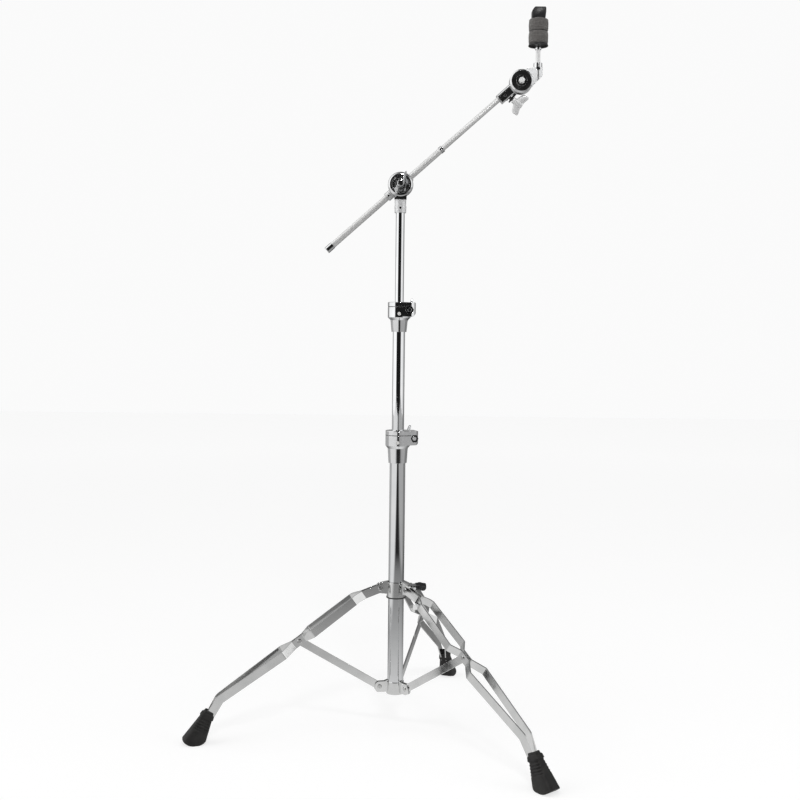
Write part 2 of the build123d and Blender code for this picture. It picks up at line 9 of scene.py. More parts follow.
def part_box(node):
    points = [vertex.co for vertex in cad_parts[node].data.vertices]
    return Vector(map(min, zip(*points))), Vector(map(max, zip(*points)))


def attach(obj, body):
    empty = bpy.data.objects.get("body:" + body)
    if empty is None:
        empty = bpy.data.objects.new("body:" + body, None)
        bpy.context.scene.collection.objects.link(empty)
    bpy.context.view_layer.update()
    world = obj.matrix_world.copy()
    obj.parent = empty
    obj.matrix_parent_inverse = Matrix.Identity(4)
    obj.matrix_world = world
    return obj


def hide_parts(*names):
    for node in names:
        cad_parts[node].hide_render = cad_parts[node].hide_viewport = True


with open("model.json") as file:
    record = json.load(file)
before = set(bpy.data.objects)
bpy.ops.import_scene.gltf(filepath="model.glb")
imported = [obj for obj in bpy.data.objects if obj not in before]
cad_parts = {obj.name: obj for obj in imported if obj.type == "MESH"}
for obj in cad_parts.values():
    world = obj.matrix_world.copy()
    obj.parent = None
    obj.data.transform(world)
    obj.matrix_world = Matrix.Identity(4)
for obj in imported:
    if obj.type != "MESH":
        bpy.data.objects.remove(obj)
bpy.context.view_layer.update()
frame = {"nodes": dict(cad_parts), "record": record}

NODES = frame["nodes"]
JOINTS = {joint["name"]: joint for joint in frame["record"]["behaviour"]["joints"]}
MM = 0.001
SCENE = bpy.context.scene

# ---- Camera -------------------------------------------------------------------------------
CAMERA_AT = (-0.00086, -2.0388, 0.7329)
CAMERA_LENS = 50.62
CAMERA_PITCH = -3.39
CAMERA_PAN = -0.114
CAMERA_ROLL = 0.646


def make_camera():
    data = bpy.data.cameras.new("camera")
    data.lens = CAMERA_LENS
    data.sensor_width = 36.0
    data.clip_start = 0.05
    data.clip_end = 100.0
    camera = bpy.data.objects.new("camera", data)
    SCENE.collection.objects.link(camera)
    turn = Matrix.Rotation(math.radians(CAMERA_PAN), 4, "Z")
    turn @= Matrix.Rotation(math.radians(90 + CAMERA_PITCH), 4, "X")
    turn @= Matrix.Rotation(math.radians(CAMERA_ROLL), 4, "Z")
    camera.matrix_world = Matrix.Translation(CAMERA_AT) @ turn
    SCENE.camera = camera


# ---- Studio -------------------------------------------------------------------------------
# The camera sees a plain pale floor and backdrop. Reflections see the levels below instead, a ring
# of light in the world and a painted pool of light on the floor, which were tuned so that the
# plated parts look as they should.
# The ring of light about the stand: (azimuth from the camera's side, brightness), -180 to 180
# with the camera's left negative. A dark gap behind the camera gives the chrome its dark centre.
LIGHT_RING = [
    (-180, 0.34), (-126, 0.34), (-116, 1.08), (-46, 1.20), (-40, 0.012),
    (35, 0.012), (40, 0.95), (60, 1.0), (96, 0.80), (104, 0.30), (180, 0.34),
]
# how much higher than its neighbours the ring reaches, as the sine of an elevation
TALL_LIGHT = [(-180, 0.0), (-125, 0.0), (-112, 0.4), (-55, 0.4), (-42, 0.0), (180, 0.0)]
CEILING = 0.16
CEILING_RISE = (0.45, 0.75)     # sines of the elevations between which the ring gives way to it
PALE = 0.96                     # the backdrop as the camera sees it
# the floor as the plated parts mirror it, a painted pool of light: (distance from the mast in
# metres, brightness)
PAINTED_POOL = [
    (0.0, 0.86), (0.25, 0.70), (0.45, 0.55), (0.7, 0.42), (1.0, 0.31), (1.4, 0.23), (1.7, 0.02),
]
# painted light on the mirrored floor at each side, and painted shade on it behind the stand
POOL_LEFT = (0.80, -0.35, -1.0)     # level, and the x between which it comes in
POOL_RIGHT = (0.42, 0.9, 1.6)
POOL_BEHIND = (0.55, 0.02, 0.5)     # share left behind the stand, and the y where it sets in
FLOOR_HALF = 8.0
PAPER_DARK, PAPER, PAPER_LIGHT = 0.335, 0.34, 0.345
PAPER_GLOW = (0.72, 0.80, 0.3, 5.0)     # near and far glow, and the distances from the mast


def ramp(nodes, stops):
    """A colour ramp of grey levels from (position, level) pairs."""
    node = nodes.new("ShaderNodeValToRGB")
    elements = node.color_ramp.elements
    while len(elements) < len(stops):
        elements.new(0.5)
    for element, (position, level) in zip(elements, stops):
        element.position = position
        element.color = (level, level, level, 1)
    return node


def camera_mix(nodes, links, mirrored, plain):
    """A shader that is plain to the camera and another one to reflections."""
    path = nodes.new("ShaderNodeLightPath")
    mix = nodes.new("ShaderNodeMixShader")
    links.new(path.outputs["Is Camera Ray"], mix.inputs["Fac"])
    links.new(mirrored, mix.inputs[1])
    links.new(plain, mix.inputs[2])
    return mix.outputs[0]


def make_world():
    """A plain pale backdrop to the camera, and a ring of soft light to reflections."""
    world = bpy.data.worlds.new("studio")
    world.use_nodes = True
    SCENE.world = world
    nodes, links = world.node_tree.nodes, world.node_tree.links
    nodes.clear()
    coords = nodes.new("ShaderNodeTexCoord")
    split = nodes.new("ShaderNodeSeparateXYZ")
    links.new(coords.outputs["Generated"], split.inputs[0])
    flip = nodes.new("ShaderNodeMath")
    flip.operation = "MULTIPLY"
    flip.inputs[1].default_value = -1.0
    links.new(split.outputs["Y"], flip.inputs[0])
    angle = nodes.new("ShaderNodeMath")
    angle.operation = "ARCTAN2"
    links.new(split.outputs["X"], angle.inputs[0])
    links.new(flip.outputs[0], angle.inputs[1])
    share = nodes.new("ShaderNodeMapRange")
    share.inputs["From Min"].default_value = -math.pi
    share.inputs["From Max"].default_value = math.pi
    links.new(angle.outputs[0], share.inputs["Value"])
    ring = ramp(nodes, [((azimuth + 180) / 360, level) for azimuth, level in LIGHT_RING])
    links.new(share.outputs["Result"], ring.inputs["Fac"])
    # the left light stands taller than the rest of the ring
    tall = ramp(nodes, [((azimuth + 180) / 360, level) for azimuth, level in TALL_LIGHT])
    links.new(share.outputs["Result"], tall.inputs["Fac"])
    above = nodes.new("ShaderNodeMath")
    above.operation = "SUBTRACT"
    links.new(split.outputs["Z"], above.inputs[0])
    links.new(tall.outputs["Color"], above.inputs[1])
    high = nodes.new("ShaderNodeMapRange")
    high.interpolation_type = "SMOOTHSTEP"
    high.inputs["From Min"].default_value, high.inputs["From Max"].default_value = CEILING_RISE
    links.new(above.outputs[0], high.inputs["Value"])
    sky = nodes.new("ShaderNodeMix")
    sky.data_type = "RGBA"
    sky.inputs["B"].default_value = (CEILING, CEILING, CEILING, 1)
    links.new(high.outputs["Result"], sky.inputs["Factor"])
    links.new(ring.outputs["Color"], sky.inputs["A"])
    lit = nodes.new("ShaderNodeBackground")
    links.new(sky.outputs["Result"], lit.inputs["Color"])
    plain = nodes.new("ShaderNodeBackground")
    plain.inputs["Color"].default_value = (PALE, PALE, PALE, 1)
    out = nodes.new("ShaderNodeOutputWorld")
    links.new(camera_mix(nodes, links, lit.outputs[0], plain.outputs[0]), out.inputs["Surface"])


def soft_box(name, at, towards, size, power, mirrored=True):
    """A rectangular studio light that faces a point."""
    data = bpy.data.lights.new(name, "AREA")
    data.shape = "RECTANGLE"
    data.size, data.size_y = size
    data.energy = power
    light = bpy.data.objects.new(name, data)
    light.location = at
    light.rotation_mode = "QUATERNION"
    light.rotation_quaternion = (Vector(towards) - Vector(at)).to_track_quat("-Z", "Y")
    light.visible_camera = False
    light.visible_glossy = mirrored
    SCENE.collection.objects.link(light)


def painted_mirror_pool(look, away):
    """The floor's level in reflections: a painted pool of light about the mast, painted shade
    behind the stand, painted light at the sides.
    """
    x, y, _z = look.split()
    reach = PAINTED_POOL[-1][0]
    pool = ramp(look.nodes, [(distance / reach, level) for distance, level in PAINTED_POOL])
    look.links.new(look.span(away, 0, 1, 0, reach), pool.inputs["Fac"])
    level = pool.outputs["Color"]
    for side_level, start, end in (POOL_LEFT, POOL_RIGHT):
        level = look.sum(level, look.span(x, 0.0, side_level, start, end), "MAXIMUM")
    share, start, end = POOL_BEHIND
    return look.sum(level, look.span(y, 1.0, share, start, end), "MULTIPLY")


def make_floor():
    """Plain pale paper to the camera, and a painted pool of light about the mast to reflections."""
    mesh = bpy.data.meshes.new("floor")
    corners = [
        (-FLOOR_HALF, -FLOOR_HALF, 0), (FLOOR_HALF, -FLOOR_HALF, 0),
        (FLOOR_HALF, FLOOR_HALF, 0), (-FLOOR_HALF, FLOOR_HALF, 0),
    ]
    mesh.from_pydata(corners, [], [(0, 1, 2, 3)])
    floor = bpy.data.objects.new("floor", mesh)
    SCENE.collection.objects.link(floor)
    look = Look("floor_paper", (PAPER,) * 3, roughness=0.9)
    look.tint(look.noise(3.0), (PAPER_DARK,) * 3, (PAPER_LIGHT,) * 3)
    look.shader.inputs["Specular IOR Level"].default_value = 0.0
    look.shader.inputs["Emission Color"].default_value = (1, 1, 1, 1)
    nodes, links = look.nodes, look.links
    apart = nodes.new("ShaderNodeVectorMath")
    apart.operation = "LENGTH"
    links.new(look.coords, apart.inputs[0])
    away = apart.outputs["Value"]
    links.new(look.span(away, *PAPER_GLOW), look.shader.inputs["Emission Strength"])
    # the floor's painted pool of light, which only reflections see
    mirrored = nodes.new("ShaderNodeEmission")
    links.new(painted_mirror_pool(look, away), mirrored.inputs["Strength"])
    out = next(n for n in nodes if n.type == "OUTPUT_MATERIAL")
    shader = camera_mix(nodes, links, mirrored.outputs[0], look.shader.outputs[0])
    links.new(shader, out.inputs["Surface"])
    mesh.materials.append(look.material)


def make_studio():
    make_world()
    soft_box("light_top", (0.3, -0.4, 3.4), (0, 0, 0.3), (3.4, 3.0), 30, mirrored=False)
    soft_box("light_left", (-2.9, -1.0, 1.5), (0, 0, 0.7), (1.2, 2.4), 12, mirrored=False)
    soft_box("light_right", (3.0, -0.8, 1.4), (0, 0, 0.7), (1.2, 2.2), 8, mirrored=False)
    soft_box("light_key", (0.35, -2.6, 2.7), (0.1, 0, 0.9), (0.5, 0.4), 26)
    make_floor()


# ---- Materials ----------------------------------------------------------------------------
SATIN_METAL = 0.5           # how metallic the matt plated surfaces are
MATT_ROUGH = 0.34           # how much rougher a masked matt area is than the plate about it
BOOM_RISE = math.atan2(JOINTS["boom_slide"]["axis"][2], JOINTS["boom_slide"]["axis"][0])
DISC_FACE_R = 20.2 * MM     # polished disc and hub of the cymbal tilter's arm
HUB_FACE_R = 8.6 * MM
NECK_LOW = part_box("boom_tilter_base")[0][2] + 23.0 * MM     # top of the boom tilter's matt socket
BRIGHT = (0.80, 0.81, 0.82)
CLEAN = (0.86, 0.865, 0.87)
GREY = (0.76, 0.765, 0.77)
DULL = (0.74, 0.745, 0.74)
WORN = (0.835, 0.835, 0.83)
# paler than the plate, as painted light for the parts that the lamps light less
PAINTED_PALE = (0.88, 0.88, 0.88)
BLACK = (0.011, 0.011, 0.012)


class Look:
    """A node material: a Principled shader with procedural detail in the object's coordinates."""

    def __init__(self, name, colour, metallic=0.0, roughness=0.5, **constants):
        self.material = bpy.data.materials.new(name)
        self.material.use_nodes = True
        tree = self.material.node_tree
        self.nodes, self.links = tree.nodes, tree.links
        self.shader = next(n for n in self.nodes if n.type == "BSDF_PRINCIPLED")
        self.shader.inputs["Base Color"].default_value = (*colour, 1)
        self.shader.inputs["Metallic"].default_value = metallic
        self.shader.inputs["Roughness"].default_value = roughness
        for socket, value in constants.items():
            self.shader.inputs[socket.replace("_", " ")].default_value = value
        self.coords = self.nodes.new("ShaderNodeTexCoord").outputs["Object"]
        self.material.diffuse_color = (*colour, 1)

    def placed(self, stretch, turn=(0, 0, 0)):
        """The object's coordinates, turned and then scaled unevenly."""
        spin = self.nodes.new("ShaderNodeMapping")
        spin.inputs["Rotation"].default_value = [math.radians(a) for a in turn]
        self.links.new(self.coords, spin.inputs["Vector"])
        node = self.nodes.new("ShaderNodeMapping")
        node.inputs["Scale"].default_value = stretch
        self.links.new(spin.outputs["Vector"], node.inputs["Vector"])
        return node.outputs["Vector"]

    def noise(self, scale, detail=3.0, stretch=None, turn=(0, 0, 0)):
        """Noise of a number of features per metre, as a value from 0 to 1."""
        node = self.nodes.new("ShaderNodeTexNoise")
        node.inputs["Scale"].default_value = scale
        node.inputs["Detail"].default_value = detail
        place = self.placed(stretch, turn) if stretch else self.coords
        self.links.new(place, node.inputs["Vector"])
        return node.outputs["Fac"]

    def cells(self, scale, stretch=None, turn=(0, 0, 0)):
        node = self.nodes.new("ShaderNodeTexVoronoi")
        node.inputs["Scale"].default_value = scale
        place = self.placed(stretch, turn) if stretch else self.coords
        self.links.new(place, node.inputs["Vector"])
        return node.outputs["Distance"]

    def split(self):
        """The object's coordinates one by one."""
        node = self.nodes.new("ShaderNodeSeparateXYZ")
        self.links.new(self.coords, node.inputs[0])
        return node.outputs["X"], node.outputs["Y"], node.outputs["Z"]

    def beyond(self, centre, across, radius):
        """1 outside a cylinder about a point and 0 inside it, across the axes given as 1."""
        node = self.nodes.new("ShaderNodeVectorMath")
        node.operation = "DISTANCE"
        node.inputs[1].default_value = [c * a for c, a in zip(centre, across)]
        self.links.new(self.placed(across), node.inputs[0])
        return self.span(node.outputs["Value"], 0, 1, radius - 0.2 * MM, radius + 0.2 * MM)

    def span(self, value, low, high, start=0.3, end=0.7):
        """A value's range from start to end, drawn out between two levels."""
        node = self.nodes.new("ShaderNodeMapRange")
        node.inputs["From Min"].default_value = start
        node.inputs["From Max"].default_value = end
        node.inputs["To Min"].default_value = low
        node.inputs["To Max"].default_value = high
        self.links.new(value, node.inputs["Value"])
        return node.outputs["Result"]

    def sum(self, first, second, operation="ADD"):
        node = self.nodes.new("ShaderNodeMath")
        node.operation = operation
        self.links.new(first, node.inputs[0])
        self.links.new(second, node.inputs[1])
        return node.outputs[0]

    def tint(self, value, dark, light):
        """Varies the base colour between two colours."""
        node = self.nodes.new("ShaderNodeMix")
        node.data_type = "RGBA"
        node.inputs["A"].default_value = (*dark, 1)
        node.inputs["B"].default_value = (*light, 1)
        self.links.new(value, node.inputs["Factor"])
        self.links.new(node.outputs["Result"], self.shader.inputs["Base Color"])

    def rough(self, value):
        self.links.new(value, self.shader.inputs["Roughness"])

    def bump(self, height, depth_mm, edge_mm=0.0):
        """Fine relief, over edges that shade as if rounded to a radius."""
        node = self.nodes.new("ShaderNodeBump")
        node.inputs["Distance"].default_value = depth_mm * MM
        self.links.new(height, node.inputs["Height"])
        if edge_mm:
            edge = self.nodes.new("ShaderNodeBevel")
            edge.inputs["Radius"].default_value = edge_mm * MM
            self.links.new(edge.outputs["Normal"], node.inputs["Normal"])
        self.links.new(node.outputs["Normal"], self.shader.inputs["Normal"])


def chrome(name, dark, light, low, high, waves_mm, edge_mm=0.0, scratches=None, matt=None):
    """Plated metal: smudged gloss, faint scratches and the plate's slight waviness.

    matt gives a mask from the look, 1 where the plate is left matt.
    """
    look = Look(name, light, metallic=1.0, roughness=low)
    look.tint(look.span(look.noise(38, 4), 0, 1), dark, light)
    smudge = look.span(look.noise(70, 6), low, high, 0.35, 0.75)
    fine = look.noise(60, 2, scratches or (30, 30, 30))
    gloss = look.sum(smudge, look.span(fine, 0.0, 0.10, 0.60, 0.80))
    waves = look.sum(look.noise(110, 2), look.span(fine, 0.0, 0.12, 0.4, 0.8))
    if matt:
        mask = matt(look)
        gloss = look.sum(gloss, look.span(mask, 0.0, MATT_ROUGH, 0, 1))
        waves = look.sum(waves, look.span(mask, 1.0, 0.15, 0, 1), "MULTIPLY")
        look.links.new(look.span(mask, 1.0, SATIN_METAL, 0, 1), look.shader.inputs["Metallic"])
    look.rough(gloss)
    look.bump(waves, waves_mm, edge_mm)
    return look.material


def plastic(name, dark, light, low, high, grain_mm, **constants):
    look = Look(name, light, roughness=low, **constants)
    look.tint(look.span(look.noise(120, 4), 0, 1), dark, light)
    look.rough(look.span(look.noise(260, 4), low, high))
    look.bump(look.sum(look.noise(2400, 3), look.noise(500, 2)), grain_mm)
    return look.material


def satin(name, dark, light, low, high, grain_mm, metallic=SATIN_METAL):
    """Matt plate: it scatters the light evenly, with a fine grain."""
    look = Look(name, light, metallic=metallic, roughness=low)
    look.tint(look.span(look.noise(140, 5), 0, 1), dark, light)
    look.rough(look.span(look.noise(90, 4), low, high))
    look.bump(look.sum(look.noise(700, 1), look.noise(300, 2)), grain_mm, 0.4)
    return look.material


def boom_finish(name):
    """Fine lengthwise texture that scatters reflections, as on a boom that must not slip."""
    look = Look(name, (0.88, 0.88, 0.88), metallic=SATIN_METAL, roughness=0.36)
    turn = (0, math.degrees(BOOM_RISE), 0)
    lines = look.noise(1.0, 1, (20, 500, 500), turn)
    look.tint(look.span(lines, 0, 1), (0.80, 0.80, 0.795), (0.90, 0.90, 0.895))
    look.rough(look.span(look.noise(90, 4), 0.32, 0.42))
    look.bump(lines, 0.004)
    return look.material


def felt_finish(name):
    look = Look(name, (0.12, 0.115, 0.11), roughness=0.97, Sheen_Weight=0.35, Sheen_Roughness=0.5)
    look.shader.inputs["Specular IOR Level"].default_value = 0.15
    layers = look.noise(1.0, 3, (60, 60, 900))
    fibres = look.noise(1500, 6)
    blotch = look.noise(260, 4)
    mixed = look.sum(look.span(layers, 0, 0.5), look.span(fibres, 0, 0.35))
    mixed = look.sum(mixed, look.span(blotch, 0, 0.25))
    look.tint(mixed, (0.075, 0.070, 0.066), (0.205, 0.196, 0.188))
    look.bump(look.sum(look.span(layers, 0, 0.6), look.sum(fibres, look.cells(1400))), 0.7)
    return look.material


def rubber_finish(name):
    look = Look(name, (0.014, 0.0135, 0.0135), roughness=0.55)
    look.shader.inputs["Specular IOR Level"].default_value = 0.4
    look.tint(look.span(look.noise(90, 5), 0, 1), (0.010, 0.0095, 0.0095), (0.022, 0.021, 0.020))
    look.rough(look.span(look.noise(180, 5), 0.42, 0.68))
    look.bump(look.sum(look.noise(1800, 4), look.noise(300, 3)), 0.09)
    return look.material


def arm_web(look):
    """The arm's web, between its polished disc and the hub about the post."""
    outside = look.beyond(JOINTS["cymbal_tilt"]["pos_m"], (1, 0, 1), DISC_FACE_R)
    post = [(a + b) / 2 for a, b in zip(*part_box("cymbal_post"))]
    return look.sum(outside, look.beyond(post, (1, 1, 0), HUB_FACE_R), "MULTIPLY")


def tilter_socket(look):
    """The lower end of the boom tilter's casting."""
    return look.span(look.split()[2], 1, 0, NECK_LOW - 0.5 * MM, NECK_LOW + 0.5 * MM)


def make_materials():
    casting = (GREY, CLEAN, 0.05, 0.12, 0.02, 0.45)
    looks = [
        chrome("chrome_tube", BRIGHT, CLEAN, 0.02, 0.06, 0.004, scratches=(60, 60, 1.5)),
        boom_finish("chrome_boom"),
        chrome("chrome_casting", *casting),
        chrome("tilter_arm", *casting, matt=arm_web),
        chrome("tilter_base", *casting, matt=tilter_socket),
        chrome("chrome_stamping", DULL, WORN, 0.06, 0.14, 0.02, 0.4),
        chrome("chrome_leg", DULL, WORN, 0.07, 0.17, 0.012, 0.45),
        chrome("chrome_fastener", BRIGHT, CLEAN, 0.08, 0.20, 0.012, 0.3),
        satin("satin_casting", DULL, CLEAN, 0.32, 0.42, 0.004),
        # painted light: a paler, less metallic copy of the satin plate, so that the cymbal wing nut
        # and post show white under weaker light
        satin("satin_bright", PAINTED_PALE, (0.95, 0.95, 0.95), 0.26, 0.36, 0.004, 0.3),
        chrome("rivet_steel", (0.50, 0.50, 0.50), (0.66, 0.66, 0.65), 0.12, 0.28, 0.03, 0.3),
        chrome("dark_steel", (0.035, 0.035, 0.037), (0.085, 0.085, 0.088), 0.22, 0.40, 0.02),
        satin("threaded_steel", BRIGHT, CLEAN, 0.22, 0.30, 0.002),
        plastic("nylon", (0.78, 0.78, 0.76), (0.88, 0.88, 0.86), 0.35, 0.5, 0.03),
        plastic("black_nylon", BLACK, (0.02, 0.02, 0.02), 0.4, 0.55, 0.03),
        plastic("black_plastic", BLACK, (0.021, 0.021, 0.022), 0.30, 0.46, 0.03),
        rubber_finish("foot_rubber"),
        felt_finish("felt"),
    ]
    # The frame holds plain materials of the same names, so Blender numbers these.
    return {material.name.split(".")[0]: material for material in looks}


# ---- Mesh helpers -------------------------------------------------------------------------
def finish_piece(name, bm, look, body, replaced=(), crease=35.0):
    """Makes an object from a bmesh in metres, shades it, hangs it on its body and hides the parts
    that it stands for.
    """
    bmesh.ops.remove_doubles(bm, verts=bm.verts, dist=1e-6)
    bmesh.ops.recalc_face_normals(bm, faces=bm.faces)
    mesh = bpy.data.meshes.new(name)
    bm.to_mesh(mesh)
    bm.free()
    mesh.polygons.foreach_set("use_smooth", [True] * len(mesh.polygons))
    mesh.set_sharp_from_angle(angle=math.radians(crease))
    mesh.materials.append(LOOKS[look])
    piece = bpy.data.objects.new(name, mesh)
    SCENE.collection.objects.link(piece)
    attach(piece, body)
    if replaced:
        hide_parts(*replaced)
    return piece


def lathe(bm, profile, place, steps=64, closed=True):
    """Turns a profile of (radius, height) in millimetres about the local Z axis."""
    rings = []
    for radius, height in profile:
        ring = []
        for i in range(steps if radius > 1e-6 else 1):
            angle = 2 * math.pi * i / steps
            point = Vector((radius * math.cos(angle), radius * math.sin(angle), height)) * MM
            ring.append(bm.verts.new(place @ point))
        rings.append(ring)
    pairs = list(zip(rings, rings[1:] + rings[:1])) if closed else list(zip(rings, rings[1:]))
    for low, high in pairs:
        for i in range(steps):
            j = (i + 1) % steps
            corners = [low[i % len(low)], low[j % len(low)]]
            corners += [high[j % len(high)], high[i % len(high)]]
            corners = list(dict.fromkeys(corners))
            if len(corners) > 2:
                bm.faces.new(corners)
    return rings


def rounded(points, radius, steps=4):
    """Rounds the corners of a closed profile of (radius, height) points."""
    out = []
    count = len(points)
    for i, corner in enumerate(points):
        corner = Vector(corner)
        before = Vector(points[i - 1]) - corner
        after = Vector(points[(i + 1) % count]) - corner
        reach = min(radius, before.length * 0.45, after.length * 0.45)
        start, end = corner + before.normalized() * reach, corner + after.normalized() * reach
        for k in range(steps + 1):
            t = k / steps
            out.append(tuple(start * (1 - t) ** 2 + corner * (2 * t * (1 - t)) + end * t * t))
    return out


def subdivided(bm, levels):
    """The bmesh's subdivision surface, as a new bmesh."""
    mesh = bpy.data.meshes.new("cage")
    bm.to_mesh(mesh)
    bm.free()
    cage = bpy.data.objects.new("cage", mesh)
    SCENE.collection.objects.link(cage)
    cage.modifiers.new("subdivision", "SUBSURF").levels = levels
    bpy.context.view_layer.update()
    result = cage.evaluated_get(bpy.context.evaluated_depsgraph_get()).to_mesh()
    smooth = bmesh.new()
    smooth.from_mesh(result)
    bpy.data.objects.remove(cage)
    bpy.data.meshes.remove(mesh)
    return smooth


def merge(target, source):
    """Adds one bmesh to another."""
    mesh = bpy.data.meshes.new("merge")
    source.to_mesh(mesh)
    source.free()
    target.from_mesh(mesh)
    bpy.data.meshes.remove(mesh)


def blade(stations, place, levels=2):
    """A curved wing from stations (x, y, low, high, thickness), lofted and smoothed."""
    bm = bmesh.new()
    rings = []
    for i, (x, y, low, high, thick) in enumerate(stations):
        ahead, behind = stations[min(i + 1, len(stations) - 1)], stations[max(i - 1, 0)]
        run = Vector((ahead[0] - behind[0], ahead[1] - behind[1]))
        across = Vector((-run.y, run.x)).normalized() * thick / 2
        inset = min(thick * 0.32, (high - low) * 0.3)
        ring = []
        for side, height in (
            (-1, low + inset), (-0.45, low), (0.45, low), (1, low + inset),
            (1, high - inset), (0.45, high), (-0.45, high), (-1, high - inset),
        ):
            point = Vector((x + across.x * side, y + across.y * side, height)) * MM
            ring.append(bm.verts.new(place @ point))
        rings.append(ring)
    for low_ring, high_ring in zip(rings, rings[1:]):
        for i in range(8):
            j = (i + 1) % 8
            bm.faces.new((low_ring[i], low_ring[j], high_ring[j], high_ring[i]))
    for ring in (rings[0], rings[-1]):
        bm.faces.new((ring[0], ring[3], ring[4], ring[7]))
        bm.faces.new((ring[0], ring[1], ring[2], ring[3]))
        bm.faces.new((ring[4], ring[5], ring[6], ring[7]))
    bmesh.ops.recalc_face_normals(bm, faces=bm.faces)
    return subdivided(bm, levels)


def axis_frame(origin, axis, along):
    """A local frame: its Z on an axis, and its X nearest to another direction."""
    z = Vector(axis).normalized()
    x = Vector(along) - z * z.dot(Vector(along))
    x.normalize()
    y = z.cross(x)
    frame_matrix = Matrix((x, y, z)).transposed().to_4x4()
    return Matrix.Translation(origin) @ frame_matrix


# ---- Rubber feet --------------------------------------------------------------------------
FOOT_TOP = Vector((337.5, 57.0))        # the boot's axis, as radius from the mast and height
FOOT_END = Vector((366.0, 2.0))
SOLE_CENTRE_R = 362.0
SOLE_ARC = 33.0
RIB_PITCH = 5.0
RIB_SPAN = (13.0, 37.0)
RIB_DEPTH = 1.5


def sole_height(radius):
    away = abs(radius - SOLE_CENTRE_R)
    if away >= SOLE_ARC:
        return SOLE_ARC
    return max(SOLE_ARC - 0.5 - math.sqrt(SOLE_ARC**2 - away**2), 0.0)


def boot_outline(down, angle):
    """The boot's outline at a distance below its top: offsets in the leg's plane and across it."""
    length = (FOOT_END - FOOT_TOP).length
    share = min(down / length, 1.2)
    half_u = 8.75 + 12.2 * share
    half_t = 8.25 + 8.4 * share
    lip = smooth(down, 3.5, 5.0) * (1 - smooth(down, 11.5, 13.0))
    half_u += 2.0 * lip
    half_t += 1.6 * lip
    power = 2 / 3.6
    c, s = math.cos(angle), math.sin(angle)
    u = math.copysign(abs(c) ** power, c) * half_u
    t = math.copysign(abs(s) ** power, s) * half_t
    # ribs run over the two cheeks and fade out on the front and back
    cheek = smooth(abs(s) ** power, 0.55, 0.85)
    first, last = RIB_SPAN
    zone = smooth(down, first - 1, first + 1) * (1 - smooth(down, last - 3, last))
    wave = 0.5 + 0.5 * math.cos(2 * math.pi * (down - first) / RIB_PITCH)
    groove = RIB_DEPTH * cheek * zone * (1 - wave) ** 2
    scale_u = 1 - groove / half_u
    scale_t = 1 - groove / half_t
    return u * scale_u, t * scale_t


def smooth(value, low, high):
    share = min(max((value - low) / (high - low), 0.0), 1.0)
    return share * share * (3 - 2 * share)


def make_boot(side):
    fold = JOINTS["leg_fold" if side == "left" else f"{side}_strut_fold"]
    out = Vector((-fold["axis"][1], fold["axis"][0], 0))
    across = Vector((0, 0, 1)).cross(out)
    axis = (FOOT_END - FOOT_TOP).normalized()
    lean = Vector((-axis.y, axis.x))

    def at(down, u, t):
        flat = FOOT_TOP + axis * down + lean * u
        return (out * flat.x + across * t + Vector((0, 0, flat.y))) * MM

    def depth_of_sole(angle):
        low, high = 20.0, 90.0
        for _ in range(26):
            middle = (low + high) / 2
            u, _t = boot_outline(middle, angle)
            flat = FOOT_TOP + axis * middle + lean * u
            if flat.y > sole_height(flat.x):
                low = middle
            else:
                high = middle
        return low

    bm = bmesh.new()
    columns, rows, bevel = 72, 92, 2.2
    angles = [2 * math.pi * i / columns for i in range(columns)]
    ends = [depth_of_sole(a) for a in angles]
    rings = []
    for row in range(rows + 1):
        ring = []
        for a, end in zip(angles, ends):
            down = (end - bevel) * row / rows
            u, t = boot_outline(down, a)
            ring.append(bm.verts.new(at(down, u, t)))
        rings.append(ring)
    # the sole: the outline's end, drawn in over a small rounded edge and then to the middle
    for inset, drop in ((0.985, 0.62), (0.94, 0.90), (0.88, 1.0)):
        ring = []
        for a, end in zip(angles, ends):
            u, t = boot_outline(end, a)
            ring.append(bm.verts.new(at(end - bevel * (1 - drop), u * inset, t * inset)))
        rings.append(ring)
    for share in (0.7, 0.5, 0.3, 0.12):
        ring = []
        for a, end in zip(angles, ends):
            u, t = boot_outline(end, a)
            point = at(end, u * share, t * share)
            radius = point.dot(out) / MM
            point.z = sole_height(radius) * MM
            ring.append(bm.verts.new(point))
        rings.append(ring)
    for lower, upper in zip(rings, rings[1:]):
        for i in range(columns):
            j = (i + 1) % columns
            bm.faces.new((lower[i], lower[j], upper[j], upper[i]))
    bm.faces.new(rings[-1])
    # the mouth turns in around the leg's end
    mouth = []
    for inset, down in ((0.93, -0.8), (0.80, -0.6), (0.74, 1.5)):
        ring = []
        for a in angles:
            u, t = boot_outline(0, a)
            ring.append(bm.verts.new(at(down, u * inset, t * inset)))
        mouth.append(ring)
    for lower, upper in zip([rings[0]] + mouth, mouth):
        for i in range(columns):
            j = (i + 1) % columns
            bm.faces.new((lower[i], lower[j], upper[j], upper[i]))
    bm.faces.new(mouth[-1])
    for vert in bm.verts:
        vert.co.z = max(vert.co.z, 0.0)
    node = f"{side}_rubber_foot"
    finish_piece(f"{side}_boot", bm, "foot_rubber", f"{side}_leg", [node], crease=50)


# ---- Felts and cup ------------------------------------------------------------------------
def post_axis():
    low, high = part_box("lower_felt")
    return Vector(((low[0] + high[0]) / 2, (low[1] + high[1]) / 2, 0))


FELT_GAP = 0.12             # drawn in at each end, so that stacked pieces share no plane


